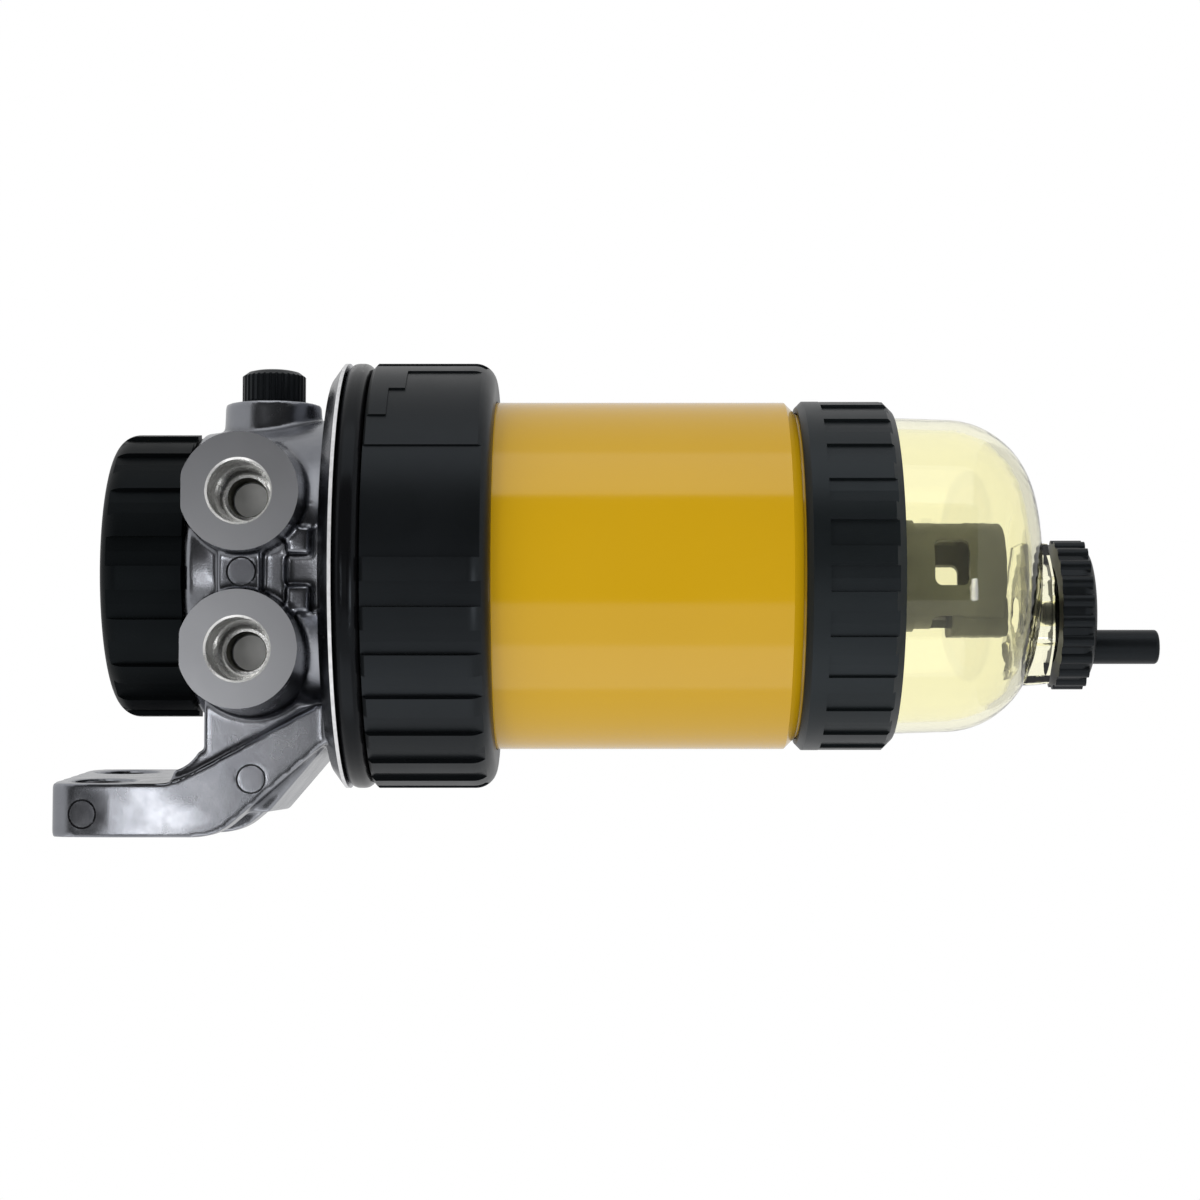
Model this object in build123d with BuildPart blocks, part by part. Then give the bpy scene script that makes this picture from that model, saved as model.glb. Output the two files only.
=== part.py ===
from build123d import *
from math import cos, radians, sin
import os

os.makedirs("parts", exist_ok=True)

# Fuel water separator for a diesel engine, in millimetres, in the place it has on the engine.
# The filter's axis is upright, the hand primer is on top and the drain hangs below.
# The bracket's bolting face is the plane X = 0, its two bolts' middle is the origin,
# and the two fuel ports open towards -Y.
# Every height is measured from the head's sealing face, the underside of its flange.

# Fits and clearances
shaft_fit = 0.05
run_gap = 0.3
thread_gap = 0.3
seal_slack = 0.1

# Where the filter stands from the bolts
axis_out = 70.0
seat_drop = 63.4

# Filter head: flange, body, skirt with bayonet lugs, spigot
flange_t = 3.6
flange_slope_w = 4.0
flange_rim_h = 0.9
body_top = 40.0
body_top_r = 38.5
body_low_r = 42.5
skirt_r = 48.5
skirt_wall = 4.5
skirt_h = 16.0
lug_count = 6
lug_span = 22.0
lug_out = 3.6
lug_h = 3.8
lug_gap = 1.1
body_root = 12.0
spigot_r = 10.0
spigot_h = 27.0
spigot_bore_r = 6.5
spigot_bore_top = 4.0
gallery_in_r = 22.0
gallery_out_r = 37.0
gallery_h = 9.0

# Pump barrel and passages in the head
barrel_r = 20.0
barrel_top = 50.0
chamber_r = 16.0
chamber_floor = 15.0
gland_seat_depth = 3.0
inlet_passage_r = 3.5
inlet_passage_z = 9.0
outlet_passage_r = 4.0
outlet_passage_z = 4.8
passage_rib_w = 14.0
riser_r = 3.5
riser_in = 2.0
riser_setback = 1.0
transfer_r = 2.5
transfer_out = 24.0
transfer_z = 34.0

# Fuel ports
port_face_y = -52.0
port_level = 24.0
port_gap = 40.0
port_mid = -2.0
port_face_r = 15.1
port_draft = 3.0
port_flat = 14.4
port_mouth_r = 8.55
port_thread_r = 8.0
port_thread_len = 15.0
port_cone_len = 3.5
port_step_r = 6.0
port_passage_r = 5.0
port_passage_len = 8.5
port_root_y = -24.0
pad_face_y = -45.0
pad_level = 24.7
pad_h = 11.2
recess_y = -39.0
recess_half_w = 10.0
recess_gap = 1.5
recess_low = 6.3
recess_high = 18.6
slot_low = 30.8
slot_high = 35.2
shelf_y = -40.8
shelf_low = 13.4
shelf_h = 4.1
shelf_w = 17.0
shelf_mid = -3.0
stop_y = -43.0
stop_w = 6.9
stop_h = 6.0
stop_low = 6.9
stop_gap = 15.0
stop_mid = -1.3
mark_r = 3.9
mark_line = 0.5
mark_depth = 0.4
foot_mark_end = 67.1
foot_mark_out = 64.0
arm_mark_end = 23.1
arm_mark_out = 54.9

# Vent boss and screw
vent_level = 21.5
vent_boss_r = 13.0
vent_boss_out = 46.5
vent_boss_root = 20.0
vent_draft = 2.0
vent_stem_r = 3.0
vent_stem_len = 14.0
vent_drill_r = 2.0
vent_drill_out = 30.0
vent_cap_r = 8.6
vent_cap_h = 9.0
vent_cap_gap = 0.4
vent_dome = 1.6
vent_flutes = 32
vent_flute_r = 0.45
vent_recess_r = 6.4
vent_seal_wire = 1.0

# Bracket
foot_front_t = 13.9
foot_rear_t = 17.5
foot_end = 12.5
foot_inner = 40.0
foot_half_w = 30.0
foot_corner_r = 6.0
bolt_gap = 36.0
bolt_hole_r = 5.5
bolt_seat_r = 8.5
bolt_seat_t = 13.2
arm_w = 12.0
arm_low_corner = 32.3
arm_low_r = 15.0
arm_bend_r = 20.0
arm_top_out = 35.8
arm_top_z = 6.4
arm_bend_z = 43.6
arm_flange_out = 45.2
web_half_w = 23.0
web_low_out = 63.6
web_low_corner = 19.3
web_wall_z = 36.5
web_cove_r = 8.5

# Lip ring between the flange and the upper collar
lip_ring_w = 7.0
lip_ring_h = 6.7

# Upper collar
collar_wall = 4.3
collar_low = -39.6
collar_shoulder_r = 5.6
collar_ledge_h = 3.0
collar_lip_h = 3.0
collar_valley_depth = 1.3
collar_valley_end = 1.0
collar_valley_span = 6.5
collar_pitch = 12.6
collar_valleys = 9
front_grip_start = -202.6
top_grip_start = -17.2
panel_depth = 1.0
panel_span = 31.2
lock_depth = 0.5
lock_span = 34.7
lock_mark_h = 5.4
lock_mark_turn = 10.3
lock_foot_h = 4.3
lock_foot_turn = 22.5
front_panel_start = -89.2
rear_panel_start = 96.2

# Element can
can_rim_in = 1.5
can_wall = 1.2
can_bead_out = 3.2
can_bead_h = 3.2
gasket_h = 2.0
can_neck_r = 43.9
can_neck_wall = 2.6
can_neck_top = -119.6
can_low = -137.0
can_shoulder_r = 2.6

# Lower collar
ring_wall = 3.1
ring_top = -120.3
ring_low = -145.8
ring_lip_h = 2.8
ring_ribs = 25
ring_valley_depth = 0.8
ring_valley_span = 8.3
ring_valley_start = -70.1
ring_bead_h = 6.0
ring_chamfer = 1.6
ring_low_chamfer = 2.6

# Bowl
bowl_ledge = 1.05
bowl_wall = 2.8
bowl_seal_h = 2.0
bowl_knee_in = 0.45
bowl_knee_z = -160.5
bowl_low = -184.5
bowl_curve_r = 24.0

# Drain
drain_off = -10.6
boss_r = 20.4
boss_top = -173.0
boss_low = -187.9
boss_sides = 8
boss_edge_r = 2.0
boss_draft = 4.0
neck_r = 13.0
neck_low = -196.5
drain_bore_r = 5.0
drain_socket_h = 7.0
cap_r = 20.25
cap_h = 9.7
cap_gap = 2.1
cap_ribs = 22
cap_rib_r = 2.0
cap_edge_r = 4.0
cap_rib_end = 1.5
drain_stem_r = 4.4
drain_stem_top = -186.0
drain_shoulder_h = 1.5
hose_off = -19.3
hose_r = 4.65
hose_bore_r = 2.6
hose_low = -218.7
drain_seal_wire = 1.2

# Hand primer
knob_r = 38.2
knob_top = 62.3
knob_wall = 3.2
knob_edge_r = 5.5
knob_ribs = 17
knob_valley_depth = 1.2
knob_valley_span = 11.7
knob_valley_start = -90.0
knob_gap = 0.6
knob_sleeve_wall = 2.6
knob_sleeve_low = 44.0
rod_r = 4.0
rod_pin_r = 2.6
rod_in_knob = 4.6
piston_h = 7.0
piston_rest = 23.0
piston_groove_h = 2.4
piston_groove_depth = 2.2
piston_hole_r = 1.5
piston_hole_out = 8.0
flap_r = 11.0
flap_t = 1.2
gland_top = 53.0
gland_groove_r = 6.2
gland_groove_low = 49.4
gland_groove_h = 2.2

# Foot valve on the chamber's floor
valve_cage_r = 9.0
valve_cage_wall = 1.4
valve_cage_h = 6.6
valve_disc_r = 5.6
valve_disc_t = 1.4
valve_spring_r = 3.0
valve_spring_wire = 0.5
valve_spring_turns = 3.0

# Filter element
media_in_r = 21.0
media_margin = 2.1
media_top = -29.0
media_low = -115.4
media_sheet = 2.2
media_pleats = 44
end_cap_t = 3.0
end_cap_gap = 0.2
socket_wall = 3.0
socket_h = 12.0
socket_groove_low = 5.0
socket_groove_h = 2.4
socket_groove_depth = 1.6
tube_r = 19.0
tube_wall = 1.5
tube_slot_w = 4.0
tube_slot_l = 22.0
tube_slot_columns = 6
cage_r = 14.4
cage_wall = 2.0
cage_low = -176.3
cage_flare_r = 15.2
cage_flare_low = -152.0
window_w = 12.6
window_top = -156.7
window_low = -166.3
window_turn = -77.6
block_out = 16.6
block_in = 6.0
block_half_w = 8.0
block_top = -162.0
block_low = -177.7
block_edge_r = 2.5

# Places worked out from the sizes above
filter_axis = Axis((axis_out, 0, -seat_drop), (0, 0, 1))
drain_axis = Axis((axis_out + drain_off, 0, -seat_drop), (0, 0, 1))
section = Plane(origin=(axis_out, 0, -seat_drop), x_dir=(1, 0, 0), z_dir=(0, -1, 0))
drain_section = Plane(origin=(axis_out + drain_off, 0, -seat_drop), x_dir=(1, 0, 0), z_dir=(0, -1, 0))
vent_origin = (axis_out, 0, vent_level - seat_drop)
vent_axis = Axis(vent_origin, (1, 0, 0))
vent_section = Plane(origin=vent_origin, x_dir=(1, 0, 0), z_dir=(0, -1, 0))
bolt_level = seat_drop
foot_top = bolt_level + foot_end
inlet_out = port_mid + port_gap / 2
outlet_out = port_mid - port_gap / 2
inlet_riser_out = inlet_out - riser_in
outlet_riser_out = outlet_out + riser_in
port_depth = port_thread_len + port_cone_len + port_passage_len
riser_y = port_face_y + port_depth - riser_r - riser_setback
foot_slope = (foot_rear_t - foot_front_t) / (2 * foot_half_w)
web_foot_out = -axis_out + foot_front_t
lip_ring_low = -lip_ring_h
collar_top = lip_ring_low - run_gap
collar_in_r = skirt_r + lug_out + lug_gap
collar_r = collar_in_r + collar_wall
flange_r = collar_r
lip_ring_in_r = flange_r - lip_ring_w
ledge_low = collar_top - collar_ledge_h
lug_top = ledge_low - run_gap
gasket_low = -skirt_h - gasket_h
bead_low = collar_low + collar_lip_h + run_gap
can_r = skirt_r - can_rim_in
can_in_r = can_r - can_wall
can_seat_in = can_shoulder_r - can_wall / 2
neck_in_r = can_neck_r - can_neck_wall
ring_r = can_neck_r + thread_gap + ring_wall
bowl_flange_r = can_neck_r
bowl_r = bowl_flange_r - bowl_ledge
bowl_knee_r = bowl_r - bowl_knee_in
end_cap_r = can_in_r - can_seat_in - end_cap_gap
media_out_r = end_cap_r - media_margin
bowl_seal_low = can_low - bowl_seal_h
bowl_in_r = bowl_r - bowl_wall
chamber_top = barrel_top - gland_seat_depth
vent_recess_depth = 2 * vent_seal_wire - vent_cap_gap
cap_top = boss_low - cap_gap
cap_low = cap_top - cap_h
drain_shoulder_r = drain_stem_r + 2 * drain_seal_wire
cap_floor = neck_low - run_gap


def level(height, out=0.0, y=0.0):
    """Plane across the filter's axis at a height above the sealing face, facing up."""
    return Plane(origin=(axis_out + out, y, height - seat_drop), x_dir=(1, 0, 0), z_dir=(0, 0, 1))


def facing_ports(y, out=0.0, height=0.0):
    """Plane facing the ports' side, its own x pointing +X and its y up."""
    return Plane(origin=(axis_out + out, y, height - seat_drop), x_dir=(1, 0, 0), z_dir=(0, -1, 0))


def ring(inner, outer, low, high, mode=Mode.ADD):
    """Section of a ring: radii across and heights up, in the plane of the sketch."""
    with Locations(((inner + outer) / 2, (low + high) / 2)):
        Rectangle(outer - inner, high - low, mode=mode)


def wire_ring(centre_r, wire_r, height):
    """Section of a round seal ring."""
    with Locations((centre_r, height)):
        Circle(wire_r)


def sector(inner, outer, turn):
    """Piece of a ring that starts on the sketch's x axis and turns by so many degrees, straight sided."""
    half = radians(turn / 2)
    full = radians(turn)
    Polygon(
        (inner, 0),
        (outer, 0),
        (outer * cos(half), outer * sin(half)),
        (outer * cos(full), outer * sin(full)),
        (inner * cos(full), inner * sin(full)),
        (inner * cos(half), inner * sin(half)),
        align=None,
    )


# Filter head, one casting with its bracket
with BuildPart() as filter_head:
    with BuildSketch(section):
        with BuildLine():
            Polyline(
                (0, body_top),
                (body_top_r - 1.5, body_top),
                (body_top_r, body_top - 1.5),
                (body_low_r, flange_t),
                (flange_r - flange_slope_w, flange_t),
                (flange_r, flange_rim_h),
                (flange_r, 0),
                (skirt_r, 0),
                (skirt_r, -skirt_h),
                (skirt_r - skirt_wall, -skirt_h),
                (skirt_r - skirt_wall, 0),
                (gallery_out_r, 0),
                (gallery_out_r - 1.5, gallery_h),
                (gallery_in_r, gallery_h),
                (gallery_in_r, 0),
                (spigot_r, 0),
                (spigot_r, -spigot_h + 1.0),
                (spigot_r - 1.0, -spigot_h),
                (0, -spigot_h),
                close=True,
            )
        make_face()
    revolve(axis=filter_axis)
    # Pump barrel
    with BuildSketch(level(body_top)):
        Circle(barrel_r)
    extrude(amount=barrel_top - body_top)
    # Bayonet lugs
    with BuildSketch(level(lug_top)):
        with PolarLocations(0, lug_count, start_angle=-lug_span / 2):
            lug_out_r = skirt_r + lug_out
            lug_turn = radians(lug_span)
            Polygon(
                (skirt_r - 1, 0),
                (lug_out_r, 0),
                (lug_out_r * cos(lug_turn / 2), lug_out_r * sin(lug_turn / 2)),
                (lug_out_r * cos(lug_turn), lug_out_r * sin(lug_turn)),
                ((skirt_r - 1) * cos(lug_turn), (skirt_r - 1) * sin(lug_turn)),
                align=None,
            )
    extrude(amount=-lug_h)
    # Bracket: web under the body, two arms and the bolting foot
    with BuildSketch(section):
        with BuildLine():
            Polyline(
                (-body_top_r + body_root, web_wall_z),
                (web_foot_out + web_cove_r, web_wall_z),
            )
            RadiusArc(
                (web_foot_out + web_cove_r, web_wall_z),
                (web_foot_out, web_wall_z + web_cove_r),
                -web_cove_r,
            )
            Polyline(
                (web_foot_out, web_wall_z + web_cove_r),
                (web_foot_out, web_wall_z + web_cove_r + 6),
                (-web_low_out, web_wall_z + web_cove_r + 6),
                (-web_low_out, web_low_corner),
                (-arm_flange_out, flange_t),
                (-arm_flange_out, flange_t / 2),
                (-body_top_r + body_root, flange_t / 2),
                (-body_top_r + body_root, web_wall_z),
            )
        make_face()
    extrude(amount=web_half_w, both=True)
    for arm_y, arm_foot_t in (
        (-foot_half_w + arm_w / 2, foot_front_t),
        (foot_half_w - arm_w / 2, foot_rear_t - foot_slope * arm_w),
    ):
        with BuildSketch(facing_ports(arm_y)):
            with BuildLine():
                FilletPolyline(
                    (-axis_out, foot_inner + 4),
                    (-axis_out, arm_low_corner),
                    (-arm_flange_out, flange_t),
                    (-arm_flange_out, flange_t / 2),
                    (-arm_top_out, flange_t / 2),
                    (-arm_top_out, arm_top_z),
                    (-axis_out + arm_foot_t, arm_bend_z),
                    (-axis_out + arm_foot_t, foot_inner + 12),
                    radius=(0, arm_low_r, 0, 0, 0, 0, arm_bend_r, 0),
                    close=True,
                )
            make_face()
        extrude(amount=arm_w / 2, both=True)
    with BuildSketch(Plane(origin=(0, 0, foot_top - seat_drop), x_dir=(0, 1, 0), z_dir=(0, 0, -1))):
        Polygon(
            (-foot_half_w, 0),
            (foot_half_w, 0),
            (foot_half_w, foot_rear_t),
            (-foot_half_w, foot_front_t),
            align=None,
        )
    extrude(amount=foot_top - foot_inner)
    fillet(filter_head.edges().filter_by(Axis.X).group_by(Axis.Z)[-1], foot_corner_r)
    with BuildSketch(Plane(origin=(foot_rear_t + 1, 0, 0), x_dir=(0, 1, 0), z_dir=(1, 0, 0))):
        with Locations((-bolt_gap / 2, 0), (bolt_gap / 2, 0)):
            Circle(bolt_seat_r)
    extrude(amount=bolt_seat_t - foot_rear_t - 1, mode=Mode.SUBTRACT)
    with BuildSketch(Plane(origin=(0, 0, 0), x_dir=(0, 1, 0), z_dir=(1, 0, 0))):
        with Locations((-bolt_gap / 2, 0), (bolt_gap / 2, 0)):
            Circle(bolt_hole_r)
    extrude(amount=foot_rear_t, mode=Mode.SUBTRACT)
    # Port bosses with a flat towards the primer, and the pad between them
    with BuildSketch(facing_ports(port_face_y)):
        with Locations((inlet_out, port_level), (outlet_out, port_level)):
            Circle(port_face_r)
        with Locations((port_mid, port_level + port_flat + port_face_r)):
            Rectangle(4 * port_gap, 2 * port_face_r, mode=Mode.SUBTRACT)
    extrude(amount=port_face_y - port_root_y, taper=-port_draft)
    with BuildSketch(facing_ports(pad_face_y)):
        with Locations((port_mid, pad_level)):
            Rectangle(port_gap - port_face_r, pad_h)
    extrude(amount=pad_face_y - port_root_y)
    # Recesses between the bosses on both sides of the pad
    with BuildSketch(facing_ports(recess_y)):
        for low, high in ((recess_low, recess_high), (slot_low, slot_high)):
            with Locations((port_mid, (low + high) / 2)):
                Rectangle(2 * recess_half_w, high - low)
        with Locations((inlet_out, port_level), (outlet_out, port_level)):
            Circle(port_face_r + recess_gap, mode=Mode.SUBTRACT)
    extrude(amount=recess_y - pad_face_y, mode=Mode.SUBTRACT)
    # Shelf in the lower recess and the two stops near the flange
    with BuildSketch(facing_ports(shelf_y)):
        with Locations((shelf_mid, shelf_low + shelf_h / 2)):
            Rectangle(shelf_w, shelf_h)
    extrude(amount=shelf_y - port_root_y)
    stop_level = stop_low + stop_h / 2
    with BuildSketch(facing_ports(stop_y)):
        with Locations((stop_mid - stop_gap / 2, stop_level), (stop_mid + stop_gap / 2, stop_level)):
            Rectangle(stop_w, stop_h)
    extrude(amount=stop_y - port_root_y)
    # Round marks of the mould's ejectors
    for mark_y, mark_out, mark_end in (
        (pad_face_y, port_mid, port_level),
        (-foot_half_w, -foot_mark_out, foot_mark_end),
        (-foot_half_w, -arm_mark_out, arm_mark_end),
    ):
        with BuildSketch(facing_ports(mark_y)):
            with Locations((mark_out, mark_end)):
                Circle(mark_r)
                Circle(mark_r - mark_line, mode=Mode.SUBTRACT)
        extrude(amount=-mark_depth, mode=Mode.SUBTRACT)
    # Vent boss
    with BuildSketch(Plane(origin=vent_origin, x_dir=(0, 1, 0), z_dir=(1, 0, 0)).offset(vent_boss_out)):
        Circle(vent_boss_r)
    extrude(amount=-(vent_boss_out - vent_boss_root), taper=-vent_draft)
    # Ribs over the inlet and outlet passages inside the gallery
    for riser_out in (inlet_riser_out, outlet_riser_out):
        rib_dir = Vector(riser_out, riser_y, 0).normalized()
        rib_plane = Plane(
            origin=(axis_out, 0, -seat_drop), x_dir=(rib_dir.X, rib_dir.Y, 0), z_dir=(0, 0, 1)
        )
        with BuildSketch(rib_plane):
            with Locations(((spigot_r + gallery_out_r) / 2, 0)):
                Rectangle(gallery_out_r - spigot_r + 2, passage_rib_w)
        extrude(amount=gallery_h + 1)
    # Pump chamber, gland seat and spigot bore
    with BuildSketch(section):
        ring(0, chamber_r, chamber_floor, barrel_top)
    revolve(axis=filter_axis, mode=Mode.SUBTRACT)
    with BuildSketch(section):
        ring(0, chamber_r + 1.5, chamber_top, barrel_top)
    revolve(axis=filter_axis, mode=Mode.SUBTRACT)
    with BuildSketch(section):
        ring(0, spigot_bore_r, -spigot_h, spigot_bore_top)
    revolve(axis=filter_axis, mode=Mode.SUBTRACT)
    with BuildSketch(section):
        ring(0, inlet_passage_r, inlet_passage_z, chamber_floor)
    revolve(axis=filter_axis, mode=Mode.SUBTRACT)
    # Ports: chamfered mouth, thread bore, cone and the narrower bore behind it
    for port_out in (inlet_out, outlet_out):
        port_origin = (axis_out + port_out, port_face_y, port_level - seat_drop)
        with BuildSketch(Plane(origin=port_origin, x_dir=(1, 0, 0), z_dir=(0, 0, 1))):
            with BuildLine():
                Polyline(
                    (0, 0),
                    (port_mouth_r, 0),
                    (port_thread_r, port_mouth_r - port_thread_r),
                    (port_thread_r, port_thread_len),
                    (port_step_r, port_thread_len + port_cone_len),
                    (port_passage_r, port_thread_len + port_cone_len),
                    (port_passage_r, port_depth),
                    (0, port_depth),
                    close=True,
                )
            make_face()
        revolve(axis=Axis(port_origin, (0, 1, 0)), mode=Mode.SUBTRACT)
    # Risers from the ports to the passages under the chamber and into the spigot
    for riser_out, passage_z, passage_r in (
        (inlet_riser_out, inlet_passage_z, inlet_passage_r),
        (outlet_riser_out, outlet_passage_z, outlet_passage_r),
    ):
        with BuildSketch(level(passage_z, riser_out, riser_y)):
            Circle(riser_r)
        extrude(amount=port_level - passage_z, mode=Mode.SUBTRACT)
        run = Vector(riser_out, riser_y, 0)
        with BuildSketch(
            Plane(origin=(axis_out, 0, passage_z - seat_drop), x_dir=(0, 0, 1), z_dir=(run.X, run.Y, 0))
        ):
            Circle(passage_r)
        extrude(amount=run.length, mode=Mode.SUBTRACT)
    # Transfer passage from the chamber's upper end down to the gallery
    with BuildSketch(level(gallery_h - 1, 0, transfer_out)):
        Circle(transfer_r)
    extrude(amount=transfer_z - gallery_h + 1, mode=Mode.SUBTRACT)
    with BuildSketch(Plane(origin=(axis_out, 0, transfer_z - seat_drop), x_dir=(1, 0, 0), z_dir=(0, 1, 0))):
        Circle(transfer_r)
    extrude(amount=transfer_out, mode=Mode.SUBTRACT)
    # Vent screw's bore, its seal recess and the air drilling to the gallery
    with BuildSketch(vent_section):
        ring(vent_boss_out - vent_stem_len - 3.5, vent_boss_out, 0, vent_stem_r + shaft_fit)
    revolve(axis=vent_axis, mode=Mode.SUBTRACT)
    with BuildSketch(vent_section):
        ring(vent_boss_out - vent_recess_depth, vent_boss_out, 0, vent_recess_r)
    revolve(axis=vent_axis, mode=Mode.SUBTRACT)
    with BuildSketch(level(gallery_h / 2, vent_drill_out)):
        Circle(vent_drill_r)
    extrude(amount=vent_level - gallery_h / 2, mode=Mode.SUBTRACT)
filter_head.part.label = "filter_head"
export_step(filter_head.part, "parts/filter_head.step")

# Lip ring, rubber, between the flange and the collar
with BuildPart() as lip_ring:
    with BuildSketch(section):
        ring(lip_ring_in_r, flange_r, lip_ring_low, 0)
        fillet([v for v in vertices() if v.X > lip_ring_in_r + 1], lip_ring_h / 2 - 0.6)
    revolve(axis=filter_axis)
lip_ring.part.label = "lip_ring"
export_step(lip_ring.part, "parts/lip_ring.step")

# Upper collar: ledge over the head's lugs, ribbed grip in two zones, lip under the can's bead
with BuildPart() as upper_collar:
    with BuildSketch(section):
        with BuildLine():
            Polyline(
                (skirt_r + thread_gap, collar_top),
                (collar_r - 1.0, collar_top),
                (collar_r, collar_top - 1.0),
                (collar_r, collar_low + collar_shoulder_r),
            )
            RadiusArc(
                (collar_r, collar_low + collar_shoulder_r),
                (collar_r - collar_shoulder_r, collar_low),
                collar_shoulder_r,
            )
            Polyline(
                (collar_r - collar_shoulder_r, collar_low),
                (can_r + run_gap, collar_low),
                (can_r + run_gap, collar_low + collar_lip_h),
                (collar_in_r, collar_low + collar_lip_h),
                (collar_in_r, ledge_low),
                (skirt_r + thread_gap, ledge_low),
                (skirt_r + thread_gap, collar_top),
            )
        make_face()
    revolve(axis=filter_axis)
    # Notches in the ledge that let the lugs through when the collar is turned
    with BuildSketch(level(collar_top)):
        with PolarLocations(0, lug_count, start_angle=180 / lug_count - (lug_span + 3) / 2):
            notch_turn = radians(lug_span + 3)
            notch_r = collar_in_r + 0.5
            Polygon(
                (skirt_r - 2, 0),
                (notch_r, 0),
                (notch_r * cos(notch_turn / 2), notch_r * sin(notch_turn / 2)),
                (notch_r * cos(notch_turn), notch_r * sin(notch_turn)),
                ((skirt_r - 2) * cos(notch_turn), (skirt_r - 2) * sin(notch_turn)),
                align=None,
            )
    extrude(amount=-collar_ledge_h, mode=Mode.SUBTRACT)
    # Two grip zones of ribs, with valleys between them
    for grip_start in (front_grip_start, top_grip_start):
        with BuildSketch(level(collar_top)):
            with PolarLocations(
                0, collar_valleys, start_angle=grip_start, angular_range=collar_valleys * collar_pitch
            ):
                sector(collar_r - collar_valley_depth, collar_r + 2, collar_valley_span)
        extrude(amount=-(collar_top - collar_low - collar_valley_end), mode=Mode.SUBTRACT)
    # Plain panels between the grip zones, a step lower
    with BuildSketch(level(collar_top)):
        for panel_start in (front_panel_start, rear_panel_start):
            with PolarLocations(0, 1, start_angle=panel_start):
                sector(collar_r - panel_depth - 1, collar_r + 2, panel_span)
        Circle(collar_r - panel_depth, mode=Mode.SUBTRACT)
    extrude(amount=-(collar_top - collar_low - collar_valley_end), mode=Mode.SUBTRACT)
    # Lock panels beside them, half a step lower round their raised stepped mark
    for band_top, band_low, band_turn in (
        (collar_top, collar_top - lock_mark_h, lock_mark_turn),
        (collar_top - lock_mark_h, collar_top - lock_mark_h - lock_foot_h, lock_foot_turn),
        (collar_top - lock_mark_h - lock_foot_h, collar_low + collar_valley_end, lock_span),
    ):
        with BuildSketch(level(band_top)):
            for panel_start in (front_panel_start, rear_panel_start):
                with PolarLocations(0, 1, start_angle=panel_start + panel_span):
                    sector(collar_r - lock_depth - 1, collar_r + 2, band_turn)
            Circle(collar_r - lock_depth, mode=Mode.SUBTRACT)
        extrude(amount=-(band_top - band_low), mode=Mode.SUBTRACT)
upper_collar.part.label = "upper_collar"
export_step(upper_collar.part, "parts/upper_collar.step")

# Element gasket between the can's rim and the head's skirt
with BuildPart() as element_gasket:
    with BuildSketch(section):
        ring(skirt_r - skirt_wall, skirt_r - 0.5, gasket_low, -skirt_h)
    revolve(axis=filter_axis)
element_gasket.part.label = "element_gasket"
export_step(element_gasket.part, "parts/element_gasket.step")

# Element can: rim, bead held by the collar, wall, shoulder and threaded neck
with BuildPart() as element_can:
    with BuildSketch(section):
        with BuildLine():
            Polyline(
                (can_in_r, gasket_low),
                (can_r, gasket_low),
                (can_r, bead_low + can_bead_h),
                (can_r + can_bead_out, bead_low + can_bead_h - 1.2),
                (can_r + can_bead_out, bead_low),
                (can_r, bead_low),
                (can_r, can_neck_top + can_shoulder_r),
                (can_r - can_shoulder_r, can_neck_top),
                (can_neck_r, can_neck_top),
                (can_neck_r, can_low),
                (neck_in_r, can_low),
                (neck_in_r, can_neck_top + can_wall),
                (can_in_r - can_seat_in, can_neck_top + can_wall),
                (can_in_r, can_neck_top + can_wall + can_seat_in),
                (can_in_r, gasket_low),
            )
        make_face()
    revolve(axis=filter_axis)
element_can.part.label = "element_can"
export_step(element_can.part, "parts/element_can.step")

# Lower collar: plain bead above, ribbed grip below, inner lip under the bowl's flange
with BuildPart() as lower_collar:
    with BuildSketch(section):
        with BuildLine():
            Polyline(
                (can_neck_r + thread_gap, ring_top),
                (ring_r - ring_chamfer, ring_top),
                (ring_r, ring_top - ring_chamfer),
                (ring_r, ring_low + ring_low_chamfer),
                (ring_r - ring_low_chamfer, ring_low),
                (bowl_r + run_gap, ring_low),
                (bowl_r + run_gap, ring_low + ring_lip_h),
                (can_neck_r + thread_gap, ring_low + ring_lip_h),
                (can_neck_r + thread_gap, ring_top),
            )
        make_face()
    revolve(axis=filter_axis)
    with BuildSketch(level(ring_top - ring_bead_h)):
        with PolarLocations(0, ring_ribs, start_angle=ring_valley_start):
            sector(ring_r - ring_valley_depth, ring_r + 2, ring_valley_span)
    extrude(amount=-(ring_top - ring_bead_h - ring_low), mode=Mode.SUBTRACT)
lower_collar.part.label = "lower_collar"
export_step(lower_collar.part, "parts/lower_collar.step")

# Bowl seal between the can's neck and the bowl's rim
with BuildPart() as bowl_seal:
    with BuildSketch(section):
        ring(bowl_in_r, can_neck_r - 0.5, bowl_seal_low, can_low)
    revolve(axis=filter_axis)
bowl_seal.part.label = "bowl_seal"
export_step(bowl_seal.part, "parts/bowl_seal.step")

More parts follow.
